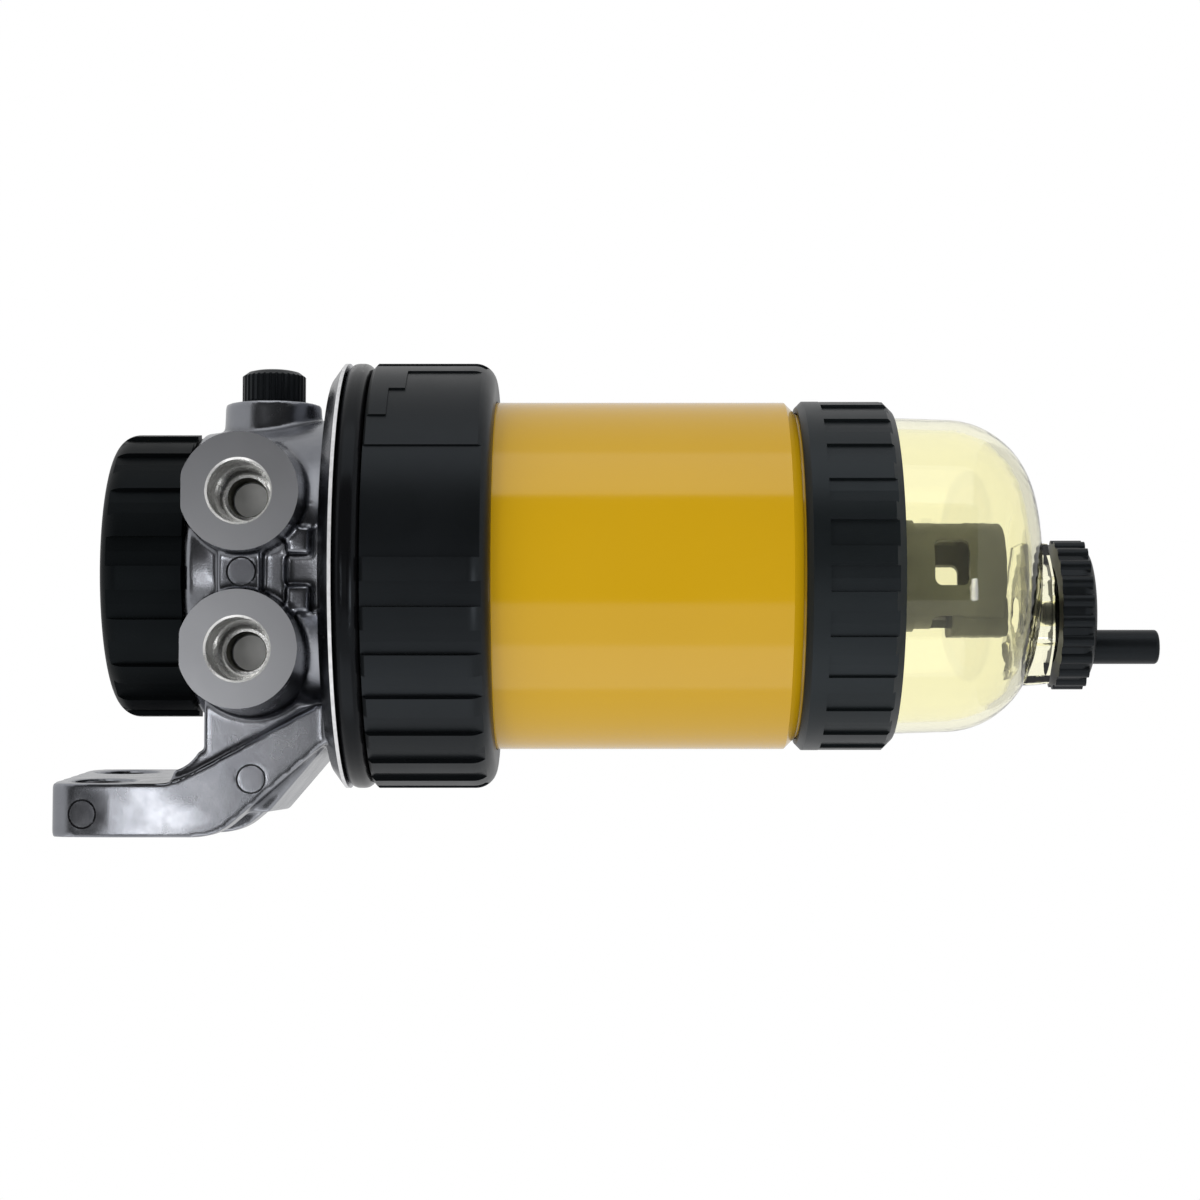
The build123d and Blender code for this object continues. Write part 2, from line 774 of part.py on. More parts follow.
# Bowl, clear moulding with a drain boss and a threaded neck off its middle
with BuildPart() as bowl:
    with BuildSketch(section):
        with BuildLine():
            Polyline(
                (0, bowl_low),
                (bowl_knee_r - bowl_curve_r, bowl_low),
            )
            RadiusArc(
                (bowl_knee_r - bowl_curve_r, bowl_low),
                (bowl_knee_r, bowl_knee_z),
                -bowl_curve_r,
            )
            Polyline(
                (bowl_knee_r, bowl_knee_z),
                (bowl_r, ring_low - 1),
                (bowl_r, ring_low + ring_lip_h + run_gap),
                (bowl_flange_r, ring_low + ring_lip_h + run_gap),
                (bowl_flange_r, bowl_seal_low),
                (0, bowl_seal_low),
                (0, bowl_low),
            )
        make_face()
    revolve(axis=filter_axis)
    with BuildSketch(level(boss_low, drain_off)):
        RegularPolygon(boss_r, boss_sides, rotation=180 / boss_sides)
        fillet(vertices(), boss_edge_r)
    extrude(amount=boss_top - boss_low, taper=-boss_draft)
    with BuildSketch(drain_section):
        ring(0, neck_r, neck_low, boss_low)
    revolve(axis=drain_axis)
    # The inside follows the outside at the wall's thickness
    with BuildSketch(section):
        with BuildLine():
            Polyline(
                (0, bowl_low + bowl_wall),
                (bowl_knee_r - bowl_curve_r, bowl_low + bowl_wall),
            )
            RadiusArc(
                (bowl_knee_r - bowl_curve_r, bowl_low + bowl_wall),
                (bowl_knee_r - bowl_wall, bowl_knee_z),
                -(bowl_curve_r - bowl_wall),
            )
            Polyline(
                (bowl_knee_r - bowl_wall, bowl_knee_z),
                (bowl_in_r, ring_low - 1),
                (bowl_in_r, bowl_seal_low),
                (0, bowl_seal_low),
                (0, bowl_low + bowl_wall),
            )
        make_face()
    revolve(axis=filter_axis, mode=Mode.SUBTRACT)
    # Drain bore, wider below where the cap's stem seals
    with BuildSketch(drain_section):
        ring(0, drain_bore_r, neck_low, bowl_low + bowl_wall + 1)
    revolve(axis=drain_axis, mode=Mode.SUBTRACT)
    with BuildSketch(drain_section):
        ring(0, drain_shoulder_r + shaft_fit, neck_low, neck_low + drain_socket_h)
    revolve(axis=drain_axis, mode=Mode.SUBTRACT)
bowl.part.label = "bowl"
export_step(bowl.part, "parts/bowl.step")

# Drain cap: ribbed skirt round the neck, sealing stem and the hose nipple, one moulding
with BuildPart() as drain_cap:
    with BuildSketch(drain_section):
        cap_side_r = cap_r - cap_rib_r / 2
        with BuildLine():
            Polyline(
                (0, cap_low),
                (cap_side_r - cap_edge_r, cap_low),
            )
            RadiusArc(
                (cap_side_r - cap_edge_r, cap_low),
                (cap_side_r, cap_low + cap_edge_r),
                -cap_edge_r,
            )
            Polyline(
                (cap_side_r, cap_low + cap_edge_r),
                (cap_side_r, cap_top),
                (neck_r + thread_gap, cap_top),
                (neck_r + thread_gap, cap_floor),
                (drain_shoulder_r, cap_floor),
                (drain_shoulder_r, cap_floor + drain_shoulder_h),
                (drain_stem_r, cap_floor + drain_shoulder_h),
                (drain_stem_r, drain_stem_top - 1),
                (drain_stem_r - 1, drain_stem_top),
                (0, drain_stem_top),
                (0, cap_low),
            )
        make_face()
    revolve(axis=drain_axis)
    with BuildSketch(level(cap_low + cap_rib_end, drain_off)):
        with PolarLocations(cap_r - cap_rib_r, cap_ribs):
            Circle(cap_rib_r)
    extrude(amount=cap_h - cap_rib_end)
    with BuildSketch(level(hose_low, hose_off)):
        Circle(hose_r)
    extrude(amount=cap_low - hose_low)
    fillet(drain_cap.edges().group_by(Axis.Z)[0], 1.0)
    # Drain passage from the cap's floor down through the nipple
    with BuildSketch(level(hose_low, hose_off)):
        Circle(hose_bore_r)
    extrude(amount=cap_floor - hose_low, mode=Mode.SUBTRACT)
drain_cap.part.label = "drain_cap"
export_step(drain_cap.part, "parts/drain_cap.step")

# Drain seal on the cap's stem
with BuildPart() as drain_seal:
    with BuildSketch(drain_section):
        wire_ring(drain_stem_r + drain_seal_wire + shaft_fit / 2, drain_seal_wire,
                  cap_floor + drain_shoulder_h + drain_seal_wire)
    revolve(axis=drain_axis)
drain_seal.part.label = "drain_seal"
export_step(drain_seal.part, "parts/drain_seal.step")

# Vent screw: fluted cap on a plain stem, one moulding
with BuildPart() as vent_screw:
    cap_face = vent_boss_out + vent_cap_gap
    with BuildSketch(vent_section):
        with BuildLine():
            Polyline(
                (vent_boss_out - vent_stem_len, 0),
                (vent_boss_out - vent_stem_len, vent_stem_r - 0.8),
                (vent_boss_out - vent_stem_len + 0.8, vent_stem_r),
                (cap_face, vent_stem_r),
                (cap_face, vent_cap_r - 0.5),
                (cap_face + 0.5, vent_cap_r),
                (cap_face + vent_cap_h - vent_dome, vent_cap_r),
                (cap_face + vent_cap_h - 0.4, vent_cap_r - vent_dome),
                (cap_face + vent_cap_h, vent_cap_r - 2 * vent_dome),
                (cap_face + vent_cap_h, 0),
                close=True,
            )
        make_face()
    revolve(axis=vent_axis)
    with BuildSketch(Plane(origin=vent_origin, x_dir=(0, 1, 0), z_dir=(1, 0, 0)).offset(cap_face)):
        with PolarLocations(vent_cap_r, vent_flutes):
            Circle(vent_flute_r)
    extrude(amount=vent_cap_h, mode=Mode.SUBTRACT)
vent_screw.part.label = "vent_screw"
export_step(vent_screw.part, "parts/vent_screw.step")

# Vent seal round the screw's stem
with BuildPart() as vent_seal:
    with BuildSketch(vent_section):
        wire_ring(vent_boss_out + vent_cap_gap - vent_seal_wire, vent_seal_wire,
                  vent_stem_r + vent_seal_wire + shaft_fit)
    revolve(axis=vent_axis)
vent_seal.part.label = "vent_seal"
export_step(vent_seal.part, "parts/vent_seal.step")

# Primer knob: hollow ribbed cap, sleeve over the pump barrel and a hub for the rod
with BuildPart() as primer_knob:
    knob_low = body_top + knob_gap
    sleeve_in_r = barrel_r + thread_gap
    with BuildSketch(section):
        with BuildLine():
            Polyline(
                (0, knob_top),
                (knob_r - knob_edge_r, knob_top),
            )
            RadiusArc(
                (knob_r - knob_edge_r, knob_top),
                (knob_r, knob_top - knob_edge_r),
                knob_edge_r,
            )
            Polyline(
                (knob_r, knob_top - knob_edge_r),
                (knob_r, knob_low),
                (knob_r - knob_wall, knob_low),
                (knob_r - knob_wall, knob_top - knob_wall - 1.5),
                (knob_r - knob_wall - 1.5, knob_top - knob_wall),
                (sleeve_in_r + knob_sleeve_wall, knob_top - knob_wall),
                (sleeve_in_r + knob_sleeve_wall, knob_sleeve_low),
                (sleeve_in_r, knob_sleeve_low),
                (sleeve_in_r, knob_top - knob_wall),
                (2 * rod_r, knob_top - knob_wall),
                (2 * rod_r, gland_top + run_gap),
                (0, gland_top + run_gap),
                (0, knob_top),
            )
        make_face()
    revolve(axis=filter_axis)
    with BuildSketch(level(knob_low)):
        with PolarLocations(0, knob_ribs, start_angle=knob_valley_start):
            sector(knob_r - knob_valley_depth, knob_r + 2, knob_valley_span)
    extrude(amount=knob_top - knob_low, mode=Mode.SUBTRACT)
    with BuildSketch(section):
        ring(0, rod_r, gland_top + run_gap, gland_top + run_gap + rod_in_knob)
    revolve(axis=filter_axis, mode=Mode.SUBTRACT)
primer_knob.part.label = "primer_knob"
export_step(primer_knob.part, "parts/primer_knob.step")

# Primer rod, pressed into the knob, with a pin that swivels in the piston
with BuildPart() as primer_rod:
    with BuildSketch(section):
        with BuildLine():
            Polyline(
                (0, piston_rest + 1),
                (rod_pin_r, piston_rest + 1),
                (rod_pin_r, piston_rest + piston_h + flap_t),
                (rod_r, piston_rest + piston_h + flap_t),
                (rod_r, gland_top + run_gap + rod_in_knob),
                (0, gland_top + run_gap + rod_in_knob),
                close=True,
            )
        make_face()
    revolve(axis=filter_axis)
primer_rod.part.label = "primer_rod"
export_step(primer_rod.part, "parts/primer_rod.step")

# Primer piston with a ring of passages and a seal groove
with BuildPart() as primer_piston:
    piston_r = chamber_r - shaft_fit
    groove_mid = piston_rest + piston_h / 2
    with BuildSketch(section):
        ring(rod_pin_r + shaft_fit, piston_r, piston_rest, piston_rest + piston_h)
        with Locations((piston_r, groove_mid)):
            Rectangle(2 * piston_groove_depth, piston_groove_h, mode=Mode.SUBTRACT)
    revolve(axis=filter_axis)
    with BuildSketch(level(piston_rest)):
        with PolarLocations(piston_hole_out, 6):
            Circle(piston_hole_r)
    extrude(amount=piston_h, mode=Mode.SUBTRACT)
primer_piston.part.label = "primer_piston"
export_step(primer_piston.part, "parts/primer_piston.step")

# Piston seal in the groove
with BuildPart() as piston_seal:
    with BuildSketch(section):
        ring(piston_r - piston_groove_depth, piston_r, groove_mid - piston_groove_h / 2 + seal_slack,
             groove_mid + piston_groove_h / 2 - seal_slack)
    revolve(axis=filter_axis)
piston_seal.part.label = "piston_seal"
export_step(piston_seal.part, "parts/piston_seal.step")

# Piston flap, the rubber washer that closes the piston's passages
with BuildPart() as piston_flap:
    with BuildSketch(section):
        ring(rod_pin_r + shaft_fit, flap_r, piston_rest + piston_h, piston_rest + piston_h + flap_t)
    revolve(axis=filter_axis)
piston_flap.part.label = "piston_flap"
export_step(piston_flap.part, "parts/piston_flap.step")

# Primer gland: closes the barrel and guides the rod
with BuildPart() as primer_gland:
    with BuildSketch(section):
        with BuildLine():
            Polyline(
                (rod_r + shaft_fit, chamber_top),
                (chamber_r + 1.5, chamber_top),
                (chamber_r + 1.5, barrel_top),
                (chamber_r - 1.0, barrel_top),
                (chamber_r - 1.0, gland_top - 1),
                (chamber_r - 2.0, gland_top),
                (rod_r + shaft_fit, gland_top),
                close=True,
            )
        make_face()
        ring(rod_r, gland_groove_r, gland_groove_low, gland_groove_low + gland_groove_h, Mode.SUBTRACT)
    revolve(axis=filter_axis)
primer_gland.part.label = "primer_gland"
export_step(primer_gland.part, "parts/primer_gland.step")

# Rod seal in the gland's groove
with BuildPart() as rod_seal:
    with BuildSketch(section):
        ring(rod_r + shaft_fit, gland_groove_r, gland_groove_low + seal_slack,
             gland_groove_low + gland_groove_h - seal_slack)
    revolve(axis=filter_axis)
rod_seal.part.label = "rod_seal"
export_step(rod_seal.part, "parts/rod_seal.step")

# Foot valve cage standing on the chamber's floor, open at three windows
with BuildPart() as foot_valve_cage:
    cage_roof = chamber_floor + valve_cage_h
    with BuildSketch(section):
        ring(valve_cage_r - valve_cage_wall, valve_cage_r, chamber_floor, cage_roof)
        ring(valve_spring_r - 1, valve_cage_r, cage_roof - valve_cage_wall, cage_roof)
    revolve(axis=filter_axis)
    with BuildSketch(level(chamber_floor + 2)):
        with PolarLocations(valve_cage_r, 3):
            Rectangle(2 * valve_cage_wall + 1, valve_cage_r)
    extrude(amount=valve_cage_h - 2 - valve_cage_wall, mode=Mode.SUBTRACT)
foot_valve_cage.part.label = "foot_valve_cage"
export_step(foot_valve_cage.part, "parts/foot_valve_cage.step")

# Foot valve disc over the inlet hole in the floor
with BuildPart() as foot_valve_disc:
    with BuildSketch(section):
        ring(0, valve_disc_r, chamber_floor, chamber_floor + valve_disc_t)
        ring(0, valve_spring_r - 2 * valve_spring_wire - 0.3, chamber_floor, chamber_floor + valve_disc_t + 1)
    revolve(axis=filter_axis)
foot_valve_disc.part.label = "foot_valve_disc"
export_step(foot_valve_disc.part, "parts/foot_valve_disc.step")

# Foot valve spring between the disc and the cage's roof
with BuildPart() as foot_valve_spring:
    spring_low = chamber_floor + valve_disc_t + valve_spring_wire
    spring_high = cage_roof - valve_cage_wall - valve_spring_wire
    spring_mean_r = valve_spring_r - valve_spring_wire
    with BuildLine():
        Helix(
            pitch=(spring_high - spring_low) / valve_spring_turns,
            height=spring_high - spring_low,
            radius=spring_mean_r,
            center=(axis_out, 0, spring_low - seat_drop),
        )
    with BuildSketch(
        Plane(origin=(axis_out + spring_mean_r, 0, spring_low - seat_drop), x_dir=(1, 0, 0), z_dir=(0, 1, 0))
    ):
        RegularPolygon(valve_spring_wire, 6)
    sweep(is_frenet=True)
foot_valve_spring.part.label = "foot_valve_spring"
export_step(foot_valve_spring.part, "parts/foot_valve_spring.step")

# Upper end cap of the element: disc with a socket round the head's spigot
with BuildPart() as upper_end_cap:
    socket_in_r = spigot_r + shaft_fit
    socket_top = media_top + end_cap_t + socket_h
    groove_low = media_top + end_cap_t + socket_groove_low
    with BuildSketch(section):
        ring(socket_in_r, end_cap_r, media_top, media_top + end_cap_t)
        ring(socket_in_r, socket_in_r + socket_wall, media_top, socket_top)
        ring(0, socket_in_r + socket_groove_depth, groove_low, groove_low + socket_groove_h, Mode.SUBTRACT)
    revolve(axis=filter_axis)
upper_end_cap.part.label = "upper_end_cap"
export_step(upper_end_cap.part, "parts/upper_end_cap.step")

# Spigot seal in the socket's groove
with BuildPart() as spigot_seal:
    with BuildSketch(section):
        ring(socket_in_r, socket_in_r + socket_groove_depth, groove_low + seal_slack,
             groove_low + socket_groove_h - seal_slack)
    revolve(axis=filter_axis)
spigot_seal.part.label = "spigot_seal"
export_step(spigot_seal.part, "parts/spigot_seal.step")

# Pleated media: a sheet folded into a star and closed into a ring
with BuildPart() as pleated_media:
    fold_turn = radians(360 / media_pleats / 2)
    outer_folds = [
        (r * cos(i * fold_turn), r * sin(i * fold_turn))
        for i, r in enumerate([media_out_r, media_in_r + media_sheet] * media_pleats)
    ]
    inner_folds = [
        (r * cos(i * fold_turn), r * sin(i * fold_turn))
        for i, r in enumerate([media_out_r - media_sheet, media_in_r] * media_pleats)
    ]
    with BuildSketch(level(media_low)):
        Polygon(*outer_folds, align=None)
        Polygon(*inner_folds, align=None, mode=Mode.SUBTRACT)
    extrude(amount=media_top - media_low)
pleated_media.part.label = "pleated_media"
export_step(pleated_media.part, "parts/pleated_media.step")

# Centre tube with rows of slots
with BuildPart() as centre_tube:
    with BuildSketch(section):
        ring(tube_r - tube_wall, tube_r, media_low, media_top)
    revolve(axis=filter_axis)
    tube_mid = (media_low + media_top) / 2
    for row in (-1, 0, 1):
        with BuildSketch(facing_ports(0, 0, tube_mid + row * 1.25 * tube_slot_l)):
            SlotOverall(tube_slot_l, tube_slot_w, rotation=90)
        slot_cut = extrude(amount=tube_r + 1, mode=Mode.PRIVATE)
        for column in range(tube_slot_columns):
            add(slot_cut.rotate(filter_axis, column * 360 / tube_slot_columns), mode=Mode.SUBTRACT)
centre_tube.part.label = "centre_tube"
export_step(centre_tube.part, "parts/centre_tube.step")

# Lower end cap: rests on the can's shoulder and carries the windowed cage in the bowl
with BuildPart() as lower_end_cap:
    cap_seat = can_neck_top + can_wall
    with BuildSketch(section):
        ring(cage_r - cage_wall, end_cap_r, cap_seat, media_low)
        ring(cage_r - cage_wall, cage_r, cage_low, media_low)
        ring(0, cage_r, cage_low, cage_low + cage_wall)
        ring(cage_r - cage_wall, cage_flare_r, cage_flare_low, media_low)
    revolve(axis=filter_axis)
    with BuildSketch(facing_ports(0, 0, (window_top + window_low) / 2)):
        RectangleRounded(window_w, window_top - window_low, 2)
    window_cut = extrude(amount=cage_r + 1, mode=Mode.PRIVATE)
    for quarter in range(4):
        add(window_cut.rotate(filter_axis, 90 + window_turn + 90 * quarter), mode=Mode.SUBTRACT)
    # Rounded block on the cage's side towards the bracket
    with BuildSketch(level(block_low)):
        with Locations((-(block_out + block_in) / 2, 0)):
            RectangleRounded(block_out - block_in, 2 * block_half_w, block_edge_r)
    extrude(amount=block_top - block_low)
lower_end_cap.part.label = "lower_end_cap"
export_step(lower_end_cap.part, "parts/lower_end_cap.step")
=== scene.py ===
import bmesh
import bpy
import numpy as np
from math import cos, pi, radians, sin
from mathutils import Matrix, Vector


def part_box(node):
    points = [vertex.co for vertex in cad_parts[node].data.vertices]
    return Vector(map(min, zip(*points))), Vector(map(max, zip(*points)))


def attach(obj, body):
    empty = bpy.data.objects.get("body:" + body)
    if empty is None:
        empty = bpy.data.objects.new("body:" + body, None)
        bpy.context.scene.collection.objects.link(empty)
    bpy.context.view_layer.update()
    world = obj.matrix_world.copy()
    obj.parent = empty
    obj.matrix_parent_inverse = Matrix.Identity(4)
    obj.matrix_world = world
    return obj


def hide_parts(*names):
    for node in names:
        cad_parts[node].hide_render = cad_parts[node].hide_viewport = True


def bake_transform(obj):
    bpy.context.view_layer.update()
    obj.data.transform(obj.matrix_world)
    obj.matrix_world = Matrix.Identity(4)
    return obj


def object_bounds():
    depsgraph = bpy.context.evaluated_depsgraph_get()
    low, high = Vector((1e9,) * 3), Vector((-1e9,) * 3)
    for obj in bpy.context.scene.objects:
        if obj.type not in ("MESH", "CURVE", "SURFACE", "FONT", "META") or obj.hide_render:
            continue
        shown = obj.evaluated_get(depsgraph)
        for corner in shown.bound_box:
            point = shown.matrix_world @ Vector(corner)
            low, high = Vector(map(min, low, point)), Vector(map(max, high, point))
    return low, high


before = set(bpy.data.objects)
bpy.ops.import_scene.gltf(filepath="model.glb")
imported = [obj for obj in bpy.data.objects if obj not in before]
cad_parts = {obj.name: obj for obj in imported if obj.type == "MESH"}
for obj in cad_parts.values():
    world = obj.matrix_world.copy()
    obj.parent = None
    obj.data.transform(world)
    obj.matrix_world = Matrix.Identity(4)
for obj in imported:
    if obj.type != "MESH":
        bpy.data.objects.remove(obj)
cad_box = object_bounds()

# All sizes are in metres. The filter's axis stands upright, this far from the bolting face
axis_out = (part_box("element_can")[0].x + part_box("element_can")[1].x) / 2
seal_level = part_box("lip_ring")[1].z

# Flange: its rim and the slope above it are turned
flange_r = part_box("lip_ring")[1].x - axis_out
flange_t = 0.0036
flange_slope_w = 0.004
flange_rim_h = 0.0009
flange_root_r = 0.0455
flange_cover = 0.0002
rim_draw = 0.003
rim_pick = 0.0005
on_rim = 0.00001

# Ports: spot face, mouth, thread, cone and passage of each bore
port_places = (axis_out + 0.018, axis_out - 0.022)
port_face = -0.052
port_z = seal_level + 0.024
spot_r = 0.0151
mouth_r = 0.00855
thread_r = 0.008
thread_len = 0.015
cone_len = 0.0035
step_r = 0.006
passage_r = 0.005
passage_len = 0.0085
passage_ring_pitch = 0.0012
passage_ring_depth = 0.0005
bore_lead = 0.004
bore_overlap = 0.001
bore_end_r = passage_r - 0.0002
bore_end_start = 0.0005
bore_end_extra = 0.0002
face_pick = 0.00005
spot_margin = 0.0001
facing_half_w = 0.06
facing_reach = 0.05
facing_margin = 0.002

# Bolt holes in the bracket's foot
bolt_half = 0.018
bolt_r = 0.0055
bolt_seat_r = 0.0085
bolt_seat_t = 0.0132
bolt_lead = 0.01
foot_t = 0.0175

# Cove between the web and the foot, channels beside the stops, and the foot's bent end
cove_r = 0.0098
cove_out = 0.017
cove_wall_z = 0.0368
cove_half_w = 0.0245
channel_front = -0.06
channel_floor = -0.0391
channel_lift = 0.0001
channel_spans = ((-0.0122, 0.0096, 0.0068), (-0.0053, 0.0027, 0.01))
foot_bend_z = 0.0595
foot_bend_y = -0.02
foot_bend_depth = 0.01
foot_bend_slope = 0.17

# Casting: allowance on faces that are machined, then the fine grid and its smoothing
stock = 0.004
plug_gap = 0.0008
casting_grid = 0.0006
casting_smoothing = 10
casting_smoothing_factor = 0.5
casting_share = 0.38
soft_start = 0.0006
soft_range = 0.0015
weld_distance = 0.000005

# Round marks of the mould's ejectors: (place, slope of the face)
mark_r = 0.0039
mark_line = 0.0005
mark_depth = 0.0004
mark_lead = 0.002
mark_places = (
    ((axis_out - 0.002, -0.0446, seal_level + 0.024), 0),
    ((axis_out - 0.064, -0.0287, seal_level + 0.0671), 0.17),
    ((axis_out - 0.0549, -0.03, seal_level + 0.0231), 0),
)

# Facets of turned solids, and the angle in degrees above which an edge stays crisp
plain_turns = 96
small_turns = 48
rim_turns = 192
crisp_angle = 40

# The photograph's view
camera_distance = 0.715
metres_per_pixel = 0.000272
view_turn = radians(3.5)
photo_centre_px = 600
seal_px = 352
axis_px = 576
sensor_mm = 36.0
photo_px = 1200

# Studio: levels of the white room, the dark flag and the floor
room_light = 0.75
room_gloss = 0.8
flag_level = 0.04
flag_y = -1.5
floor_drop = 0.13
floor_r = 0.42
floor_white = 0.9


# Materials

noise_low, noise_high = 0.3, 0.7
bump_strength = 0.5


def new_material(name):
    """A material with one Principled shader; returns it with its node tree and the shader."""
    material = bpy.data.materials.new(name)
    material.use_nodes = True
    tree = material.node_tree
    tree.nodes.clear()
    output = tree.nodes.new("ShaderNodeOutputMaterial")
    shader = tree.nodes.new("ShaderNodeBsdfPrincipled")
    tree.links.new(shader.outputs[0], output.inputs[0])
    return material, tree, shader


def noise(tree, scale, detail=3.0):
    """Noise in object space, whose features are a metre divided by scale across."""
    place = tree.nodes.new("ShaderNodeTexCoord")
    texture = tree.nodes.new("ShaderNodeTexNoise")
    texture.inputs["Scale"].default_value = scale
    texture.inputs["Detail"].default_value = detail
    texture.inputs["Roughness"].default_value = 0.5
    tree.links.new(place.outputs["Object"], texture.inputs["Vector"])
    return texture.outputs["Fac"]


def ramp(tree, source, stops):
    """Colour ramp: stops are (position, colour)."""
    node = tree.nodes.new("ShaderNodeValToRGB")
    elements = node.color_ramp.elements
    while len(elements) < len(stops):
        elements.new(0.5)
    for element, (position, colour) in zip(elements, stops):
        element.position = position
        element.color = (*colour, 1)
    tree.links.new(source, node.inputs[0])
    return node.outputs[0]


def spread(tree, source, low, high):
    """Maps a noise's usual range to low..high."""
    node = tree.nodes.new("ShaderNodeMapRange")
    node.inputs["From Min"].default_value = noise_low
    node.inputs["From Max"].default_value = noise_high
    node.inputs["To Min"].default_value = low
    node.inputs["To Max"].default_value = high
    tree.links.new(source, node.inputs["Value"])
    return node.outputs[0]


def bump(tree, shader, source, depth):
    """Bump of a height in metres on the shader's normal."""
    node = tree.nodes.new("ShaderNodeBump")
    node.inputs["Strength"].default_value = bump_strength
    node.inputs["Distance"].default_value = depth
    tree.links.new(source, node.inputs["Height"])
    tree.links.new(node.outputs[0], shader.inputs["Normal"])


def mottled(name, dark, light, scale, roughness, grain=None, metallic=0.0, specular=0.5,
            tint=(1, 1, 1)):
    """A finish whose colour wanders between dark and light. A grain is the (scale, depth) of a
    fine bump, and a tint colours the specular reflection: a painted bluish reflection."""
    material, tree, shader = new_material(name)
    colour = ramp(tree, noise(tree, scale), [(noise_low, dark), (noise_high, light)])
    tree.links.new(colour, shader.inputs["Base Color"])
    tree.links.new(spread(tree, noise(tree, scale * 3), *roughness), shader.inputs["Roughness"])
    shader.inputs["Metallic"].default_value = metallic
    shader.inputs["Specular IOR Level"].default_value = specular
    shader.inputs["Specular Tint"].default_value = (*tint, 1)
    if grain:
        grain_scale, grain_depth = grain
        bump(tree, shader, noise(tree, grain_scale, 2.0), grain_depth)
    return material


def painted_hollow_shade(material, stops):
    """Painted shade in a finish's hollows, by pointiness: stops are (pointiness, factor)."""
    tree = material.node_tree
    shader = next(n for n in tree.nodes if n.type == "BSDF_PRINCIPLED")
    shape = tree.nodes.new("ShaderNodeNewGeometry")
    grey_stops = [(place, (value, value, value)) for place, value in stops]
    factor = ramp(tree, shape.outputs["Pointiness"], grey_stops)
    product = tree.nodes.new("ShaderNodeVectorMath")
    product.operation = "MULTIPLY"
    tree.links.new(shader.inputs["Base Color"].links[0].from_socket, product.inputs[0])
    tree.links.new(factor, product.inputs[1])
    tree.links.new(product.outputs[0], shader.inputs["Base Color"])


def clear_moulding():
    """Clear pale yellow moulding of the bowl."""
    material, tree, shader = new_material("clear_moulding")
    shader.inputs["Base Color"].default_value = (0.97, 0.945, 0.72, 1)
    shader.inputs["Roughness"].default_value = 0.02
    shader.inputs["IOR"].default_value = 1.45
    shader.inputs["Transmission Weight"].default_value = 1.0
    return material


# Each finish: dark and light colour, scale of the drift between them, range of roughness
finish_looks = {
    "cast_aluminium": dict(
        dark=(0.27, 0.28, 0.31), light=(0.37, 0.38, 0.41), scale=60, roughness=(0.22, 0.28),
        grain=(2600, 0.00003), metallic=1.0),
    "machined_aluminium": dict(
        dark=(0.35, 0.355, 0.375), light=(0.39, 0.395, 0.415), scale=30, roughness=(0.32, 0.36),
        grain=(2600, 0.00002), metallic=1.0),
    # Painted shade: a darker copy of the cast finish, for the flange's slope
    "shaded_aluminium": dict(
        dark=(0.09, 0.094, 0.105), light=(0.12, 0.124, 0.138), scale=60, roughness=(0.22, 0.28),
        grain=(2600, 0.00003), metallic=1.0),
    # Painted highlight: bright, half-diffuse aluminium that looks lit on the flange's rim
    "painted_highlight_aluminium": dict(
        dark=(0.62, 0.62, 0.63), light=(0.8, 0.8, 0.81), scale=500, roughness=(0.5, 0.6),
        metallic=0.5),
    "bored_aluminium": dict(
        dark=(0.75, 0.75, 0.74), light=(0.95, 0.95, 0.94), scale=120, roughness=(0.2, 0.3),
        grain=(1200, 0.00004), metallic=1.0),
    # Painted light: a pale matt finish that makes the bore's deep end look lit
    "painted_light_bore_end": dict(
        dark=(0.8, 0.8, 0.78), light=(0.9, 0.9, 0.88), scale=200, roughness=(0.5, 0.6)),
    # Painted shade: aluminium darkened for the deep narrow passage
    "painted_shade_bore": dict(
        dark=(0.05, 0.05, 0.04), light=(0.1, 0.1, 0.085), scale=200, roughness=(0.3, 0.4),
        metallic=1.0),
    # The bluish tints of the black mouldings and the rubber are a painted reflection colour
    "black_moulding": dict(
        dark=(0.0035, 0.0042, 0.0045), light=(0.0045, 0.0052, 0.006), scale=40,
        roughness=(0.34, 0.38), grain=(2500, 0.00003), specular=0.24, tint=(0.8, 0.9, 1)),
    "knob_moulding": dict(
        dark=(0.0025, 0.003, 0.0032), light=(0.0032, 0.0038, 0.0042), scale=40,
        roughness=(0.4, 0.46), grain=(2500, 0.00003), specular=0.08, tint=(0.75, 0.9, 1)),
    "collar_moulding": dict(
        dark=(0.005, 0.0065, 0.007), light=(0.0065, 0.0085, 0.009), scale=40,
        roughness=(0.36, 0.4), grain=(2500, 0.00003), specular=0.3, tint=(0.8, 0.9, 1)),
    "black_rubber": dict(
        dark=(0.003, 0.003, 0.0034), light=(0.004, 0.004, 0.0045), scale=40,
        roughness=(0.2, 0.26), specular=0.15, tint=(0.8, 0.9, 1)),
    "amber_lacquer": dict(
        dark=(0.565, 0.325, 0.004), light=(0.59, 0.342, 0.0045), scale=14,
        roughness=(0.12, 0.14)),
    "cage_moulding": dict(
        dark=(0.065, 0.07, 0.05), light=(0.1, 0.105, 0.08), scale=120, roughness=(0.35, 0.5)),
    "filter_paper": dict(
        dark=(0.62, 0.52, 0.32), light=(0.72, 0.62, 0.4), scale=300, roughness=(0.8, 0.95)),
    "ground_steel": dict(
        dark=(0.5, 0.5, 0.52), light=(0.6, 0.6, 0.62), scale=200, roughness=(0.2, 0.3),
        metallic=1.0),
    "turned_brass": dict(
        dark=(0.6, 0.42, 0.16), light=(0.7, 0.5, 0.2), scale=200, roughness=(0.25, 0.35),
        metallic=1.0),
}
finishes = {name: mottled(name, **look) for name, look in finish_looks.items()}
finishes["clear_moulding"] = clear_moulding()
# Painted shade in the cast head's hollows and creases
painted_hollow_shade(finishes["cast_aluminium"], [(0.44, 0.12), (0.49, 0.65), (0.5, 0.75), (0.55, 1.0)])

